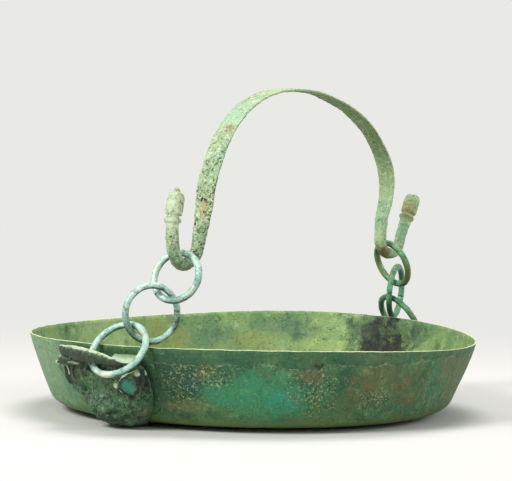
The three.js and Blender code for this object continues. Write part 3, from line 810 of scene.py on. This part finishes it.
def shape_ring(ring, i):
    """Sets a ring of corners, each with its angle round the rod, to station i's section."""
    before = stations[max(i - 1, 0)]
    after = stations[min(i + 1, STATIONS)]
    run = (after - before).normalized()
    thin_way = Vector((run.z, 0, -run.x))
    half_wide, half_thin, square = handle_section(handle_length * i / STATIONS)
    for vert, angle in ring.items():
        c, s = math.cos(angle), math.sin(angle)
        reach = (abs(c) ** square + abs(s) ** square) ** (-1 / square)
        spot = stations[i] + thin_way * (half_thin * reach * s)
        wide = half_wide * reach * c
        vert.co = (middle + along * spot.x + across * wide + upward * spot.z) * MM


bm = bmesh.new()
first = bmesh.ops.create_circle(bm, cap_ends=False, segments=SIDES, radius=1)["verts"]
ring = {vert: math.atan2(vert.co.y, vert.co.x) for vert in first}
edges = bm.edges[:]
shape_ring(ring, 0)
for i in range(1, STATIONS + 1):
    made = bmesh.ops.extrude_edge_only(bm, edges=edges)["geom"]
    new_verts = {item for item in made if isinstance(item, bmesh.types.BMVert)}
    edges = [e for e in made if isinstance(e, bmesh.types.BMEdge) and new_verts.issuperset(e.verts)]
    new_ring = {}
    for vert in new_verts:
        source = next(e.other_vert(vert) for e in vert.link_edges if e.other_vert(vert) in ring)
        new_ring[vert] = ring[source]
    ring = new_ring
    shape_ring(ring, i)
bmesh.ops.holes_fill(bm, edges=[e for e in bm.edges if e.is_boundary])
bmesh.ops.recalc_face_normals(bm, faces=bm.faces)
uneven(bm, [(22, 0.3), (6, 0.25), (2.6, 0.24), (1.4, 0.18)], 6.2, 0.25)
print("handle", len(bm.faces), "faces")

# %% [markdown]
# The left arm is thickly pitted up to half its height and smoother towards the crown, with a few red and
# orange spots of other corrosion. The right arm is more olive. Its pits are set by a zone that fades up
# the arm, so one finish serves the whole handle.

# %% Finish of the handle
HANDLE_BLOTS = [
    ((-12, -64, 200), (16, 16, 9), "96BDA0", 0.8),
    ((-15, -70, 188), (6, 9, 7), "7C3F34", 1.2),
    ((-19.5, -77, 178), (5, 8, 6), "7A4436", 1.2),
    ((-8, -62, 195), (6, 9, 6), "2C3A2E", 1.1),
    ((-33, -95, 140), (4, 7, 8), "AE8C5A", 0.65),
    ((-53, -126, 140), (9, 12, 16), "D4DEBE", 0.75),
    ((-49, -122, 148), (3, 5, 6), "C8A878", 0.8),
    ((-30, -92, 160), (10, 14, 14), "8AA57A", 0.5),
    ((60, 48, 206), (26, 30, 12), "7F9A6C", 0.6),
    ((90, 95, 101), (8, 12, 8), "7A5A34", 1.1),
    ((109, 125, 132), (8, 12, 12), "8C8650", 0.9),
    ((88, 90, 150), (10, 14, 16), "7D8C55", 0.6),
    ((104, 117, 118), (9, 9, 12), "6FA47E", 0.6),
    ((-40, -108, 108), (10, 12, 9), "6E8E63", 0.6),
]


def handle_finish():
    finish = Finish("handle_patina")
    tones = (paint("A8BE90"), paint("8CB08A"), paint("E0E8C8"), paint("24361F"))
    colour, roughness, relief = patina(finish, tones, 17.0, patch=9, pits=0.5, grain=0.3, dark=0.35)
    colour = blots(finish, colour, HANDLE_BLOTS, 19.2, size=5, rag=2.4)
    pitted = finish.ramp(finish.z, 196, 165) * finish.ramp(finish.x, 40, 0)
    thick = pitted * (finish.ramp(finish.x, -50, -40) * 0.5 + 0.4) + 0.1
    pores = finish.ramp(finish.cloud(1.9, 21.0, detail=3, rough=0.6, warp=0.5), 0.47, 0.4)
    holes = finish.ramp(finish.cells(2.4, 21.7), 0.36, 0.2)
    some = finish.ramp(finish.cloud(8, 22.4, detail=4), 0.36, 0.54)
    worn = (pores * 0.8 + holes * 0.6) * some * thick
    colour = finish.blend(worn, colour, paint("22301E"))
    crumbs = finish.ramp(finish.cloud(1.7, 24.6, detail=3, rough=0.6), 0.57, 0.64)
    colour = finish.blend(crumbs * (thick * 0.3 + 0.25), colour, paint("DCE4BE"))
    relief = finish.bump(1 - worn, 0.7, relief)
    # Painted shade: faces of the handle that point downwards are darkened with a dark olive.
    under = finish.ramp(finish.upward + finish.cloud(6, 23.1, detail=4) * 0.5, 0.05, -0.5)
    colour = finish.blend(under * 0.55, colour, paint("4E6126"))
    return finish.wear(colour, roughness, relief, 0.1)


finish_piece("arched_handle", bm, "handle", [handle_finish()], ["handle"])

# %% [markdown]
# ## The bulls' heads
# Each head is a lead-filled casting, badly corroded. Its main form comes from the frame: a copy of the
# node's mesh is merged and remeshed into small even faces, which can then be moved like clay. Brows,
# eyes, nostrils and the creases of the muzzle are pushed in or pulled out along the way that leads from
# the wall.

# %% Clay from a CAD node
def clay(node, voxel):
    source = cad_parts[node]
    bm = bmesh.new()
    bm.from_mesh(source.data)
    bmesh.ops.remove_doubles(bm, verts=bm.verts, dist=0.001 * MM)
    mesh = bpy.data.meshes.new("clay")
    bm.to_mesh(mesh)
    bm.free()
    lump = bpy.data.objects.new("clay", mesh)
    bpy.context.collection.objects.link(lump)
    remesh = lump.modifiers.new("even faces", "REMESH")
    remesh.mode = "VOXEL"
    remesh.voxel_size = voxel * MM
    bpy.context.view_layer.update()
    done = lump.evaluated_get(bpy.context.evaluated_depsgraph_get())
    bm = bmesh.new()
    bm.from_mesh(done.to_mesh())
    done.to_mesh_clear()
    bpy.data.objects.remove(lump)
    bpy.data.meshes.remove(mesh)
    return bm


# %% [markdown]
# The head's features are strokes and bosses on its face. Their places are measured across the face and up
# from the floor, in millimetres. Each one moves the clay along its normals and leaves a mark of its tone
# on the mesh, which the finish reads: pale marks on edges and ridges are wear and painted highlight, dark
# marks in hollows are painted shade, and a few places are ochre.
# The left head has lost the eye on its far side.

# %% Strokes and bosses of a head
STROKES = [
    # points, width, height, tone, strength
    ([(24, 40), (20, 37.5), (16.5, 35), (13.5, 32.5), (12, 30)], 0.7, 1.4, "pale", 0.8),
    ([(27, 33), (26, 27), (22, 22.5), (17, 22.5), (13.5, 26)], 1.2, -0.9, "dark", 0.7),
    ([(11, 27.5), (12.4, 25.4), (13.5, 24)], 0.9, 0.5, "pale", 0.5),
    # Painted shade on the shaded right side of the head, then a painted highlight along its right edge.
    ([(31, 43), (29, 37), (27, 32)], 2.8, -0.8, "dark", 0.85),
    ([(34, 42), (33.4, 36), (32.8, 29), (32.4, 22)], 0.9, 0.3, "pale", 0.95),
    ([(29, 12), (31, 19), (32, 24)], 2.2, 0.3, "ochre", 0.6),
    ([(-14, 7), (0, 5.2), (14, 6.5), (22, 9)], 1.0, -0.7, "dark", 0.25),
    ([(4, 36), (6, 30), (5, 24)], 1.8, 0.6, "pale", 0.25),
]
# The ear's pale strokes are painted highlights on its edges, and its deep dark stroke is painted shade in
# its hollow.
EAR_STROKES = [
    ([(-36, 42), (-38, 36), (-37, 28), (-33, 21)], 1.0, 0.9, "pale", 0.45),
    ([(-33, 21), (-27, 24), (-25.5, 31), (-28, 41)], 1.1, 0.9, "ochre", 0.25),
    ([(-33.5, 37), (-32, 30), (-30, 24)], 3.0, -1.8, "dark", 1.0),
    ([(-35, 42), (-34, 37.5), (-31.6, 33.5)], 0.9, 0.6, "pale", 1.0),
    ([(-28, 22), (-26, 17)], 2.4, 0.2, "ochre", 1.0),
    ([(-24, 42.4), (-17, 42)], 1.1, 0.3, "pale", 1.0),
]
BOSSES = [
    # place across and up, half sizes, height, tone, strength
    ((9.8, 29.3), (2.0, 2.2), 1.9, "pale", 1.2),
    ((19.8, 29.5), (5, 5.4), 1.5, "teal", 1.0),
    ((25.5, 38), (2.4, 2.2), 0.8, "pale", 1.0),
    ((7, 11), (2.2, 1.6), -1.3, "dark", 0.5),
    ((-7, 11), (2.2, 1.6), -1.3, "dark", 0.5),
    ((23, 12), (9, 7), 0.2, "ochre", 0.45),
]
LOST_EYE = ((-10, 39.5), (4.5, 2.6), -2.2, "dark", 1.0)
EAR_REACH, EAR_BOTTOM, EAR_TOP = 6.5, 19, 44
SHELF_ENDS = 160
TURNS = {"left": -36.5, "right": 136.5}
TONES = ("pale", "dark", "ochre", "teal")
FACE_STARTS, HORN_STARTS = 1, 43


def stroke_distance(points, s, z):
    nearest = math.inf
    for (s0, z0), (s1, z1) in zip(points, points[1:]):
        run_s, run_z = s1 - s0, z1 - z0
        share = ((s - s0) * run_s + (z - z0) * run_z) / (run_s ** 2 + run_z ** 2)
        share = min(max(share, 0), 1)
        nearest = min(nearest, math.hypot(s - s0 - share * run_s, z - z0 - share * run_z))
    return nearest


def face_marks(s, z, strokes, bosses):
    """How far the clay moves at a place of the face, and the strength of each tone there."""
    push = 0
    marks = dict.fromkeys(TONES, 0)
    for points, width, height, tone, strength in strokes:
        fall = math.exp(-((stroke_distance(points, s, z) / width) ** 2))
        push += height * fall
        marks[tone] = max(marks[tone], strength * fall)
    for (x, up), (half_x, half_z), height, tone, strength in bosses:
        fall = math.exp(-(((s - x) / half_x) ** 2) - ((z - up) / half_z) ** 2)
        push += height * fall
        marks[tone] = max(marks[tone], strength * fall)
    return push, marks


# %% [markdown]
# The face is dark green with yellow-green flecks. The bar across the horns is painted pale on its flat
# upper face, partly as wear and partly as highlight, and painted dark brown-green on its front as shade.
# The finish finds tops and fronts by the upward part of the normal.

# %% Finish of the heads
def head_finish(name, seed):
    finish = Finish(name)
    tones = (paint("2C5A36"), paint("44684A"), paint("789C6C"), paint("0C1A10"))
    colour, roughness, relief = patina(finish, tones, seed, patch=8, pits=0.6, grain=0.35, dark=0.9)
    haze = finish.ramp(finish.cloud(6, seed + 4.7, detail=7, rough=0.8, warp=0.5), 0.54, 0.66)
    colour = finish.blend(haze * 0.5, colour, paint("6E8E6C"))
    flecks = finish.ramp(finish.cloud(2.6, seed + 1.1, detail=5, rough=0.8, warp=0.8), 0.57, 0.68)
    colour = finish.blend(flecks * 0.8, colour, paint("96B266"))
    soot = finish.ramp(finish.cloud(4, seed + 2.6, detail=6, rough=0.78, warp=0.8), 0.49, 0.58)
    colour = finish.blend(soot * 0.85, colour, paint("0A170D"))
    earth = finish.ramp(finish.cloud(9, seed + 1.9, detail=7, rough=0.78), 0.54, 0.66)
    colour = finish.blend(earth * 0.55, colour, paint("6C5C4A"))
    marks = finish.add("ShaderNodeAttribute", {"attribute_name": "marks"}, output="Color")
    teal = Wire(finish, marks.socket.node.outputs["Alpha"])
    apart = finish.add("ShaderNodeSeparateXYZ", inputs={0: marks})
    pale, dark, ochre = (Wire(finish, output) for output in apart.socket.node.outputs)
    crumble = finish.cloud(2.6, seed + 5.5, detail=5, rough=0.75) * 1.6 - 0.8
    colour = finish.blend(finish.ramp(teal + crumble, 0.3, 0.8) * 0.8, colour, paint("3A967C"))
    colour = finish.blend(finish.ramp(ochre + crumble, 0.3, 0.8) * 0.7, colour, paint("857A50"))
    # The dark marks are painted shade in the hollows, and the pale marks are painted highlight and wear on
    # the edges.
    colour = finish.blend(finish.ramp(dark + crumble, 0.2, 0.65) * 0.85, colour, paint("0C1710"))
    colour = finish.blend(finish.ramp(pale + crumble * 0.9, 0.35, 0.75) * 0.9, colour, paint("D8DFC4"))
    # Painted light on the horn bar: its upward faces get a pale painted highlight with wear, and its front
    # faces a dark painted shade.
    high = finish.ramp(finish.z + crumble * 2, 40.5, 43)
    lit_worn_top = finish.ramp(finish.upward + crumble * 0.4, 0.35, 0.7) * high
    front = finish.ramp(finish.upward + crumble * 0.4, 0.45, 0.05) * high
    colour = finish.blend(front * 0.75, colour, paint("232C1E"))
    colour = finish.blend(lit_worn_top * 0.85, colour, paint("C4D4B4"))
    near_wall = finish.add(
        "ShaderNodeVectorMath",
        {"operation": "LENGTH"},
        {0: finish.add("ShaderNodeVectorMath", {"operation": "MULTIPLY"}, {0: finish.place, 1: (1, 1, 0)})},
        output="Value",
    )
    shelf = lit_worn_top * finish.ramp(near_wall * 1000 + crumble * 2, SHELF_ENDS + 1, SHELF_ENDS - 1)
    colour = finish.blend(shelf * 0.75, colour, paint("7FA27C"))
    return finish.wear(colour, roughness, relief, 0.12)


# %% Heads
for side, turn in TURNS.items():
    bm = clay(f"{side}_mount", 0.65)
    out_way = Vector((math.sin(math.radians(turn)), -math.cos(math.radians(turn)), 0))
    side_way = Vector((math.cos(math.radians(turn)), math.sin(math.radians(turn)), 0))
    bmesh.ops.smooth_vert(
        bm, verts=bm.verts, factor=0.5, use_axis_x=True, use_axis_y=True, use_axis_z=True
    )
    strokes = STROKES + EAR_STROKES
    bosses = [*BOSSES, LOST_EYE]
    if side == "right":
        mirrored = [([(-s, z) for s, z in points], *rest) for points, *rest in STROKES[:4]]
        strokes = STROKES + mirrored
        bosses = BOSSES + [((-x, up), *rest) for (x, up), *rest in BOSSES[:3]]
    layer = bm.verts.layers.float_color.new("marks")
    bm.normal_update()
    for vert in bm.verts:
        place = vert.co / MM
        out = place.dot(out_way) - wall_radius(place.z)
        if out < FACE_STARTS or place.z > HORN_STARTS:
            vert[layer] = (0, 0, 0, 0)
            continue
        across_face = place.dot(side_way)
        if side == "left":
            level = smoothstep(place.z, EAR_BOTTOM, 28) * smoothstep(place.z, EAR_TOP, 38)
            stretch = EAR_REACH * level * smoothstep(-across_face, 20, 30)
            across_face -= stretch
            vert.co -= side_way * stretch * MM
        push, marks = face_marks(across_face, place.z, strokes, bosses)
        vert[layer] = [marks[tone] for tone in TONES]
        vert.co += vert.normal * push * MM
    uneven(bm, [(9, 0.5), (4, 0.4), (1.8, 0.25)], 30 + turn, 0.4)
    seed = 23.0 if side == "left" else 29.0
    finish_piece(
        f"{side}_bull_head", bm, "vessel", [head_finish(f"{side}_head_patina", seed)],
        [f"{side}_mount"],
    )

# %% [markdown]
# ## Solder
# The beds of solder between the heads and the wall hardly show, so the frame's own pieces stay, and get
# a dull grey-green crust.

# %% Solder finish
solder = Finish("solder_crust")
solder_coats = patina(
    solder, (paint("6F7A70"), paint("5E6F60"), paint("8D978A"), paint("2F3A32")), 41.0, patch=6
)
solder.wear(*solder_coats, 0.1)
for side in TURNS:
    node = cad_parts[f"{side}_solder"]
    node.data.materials.clear()
    node.data.materials.append(solder.material)
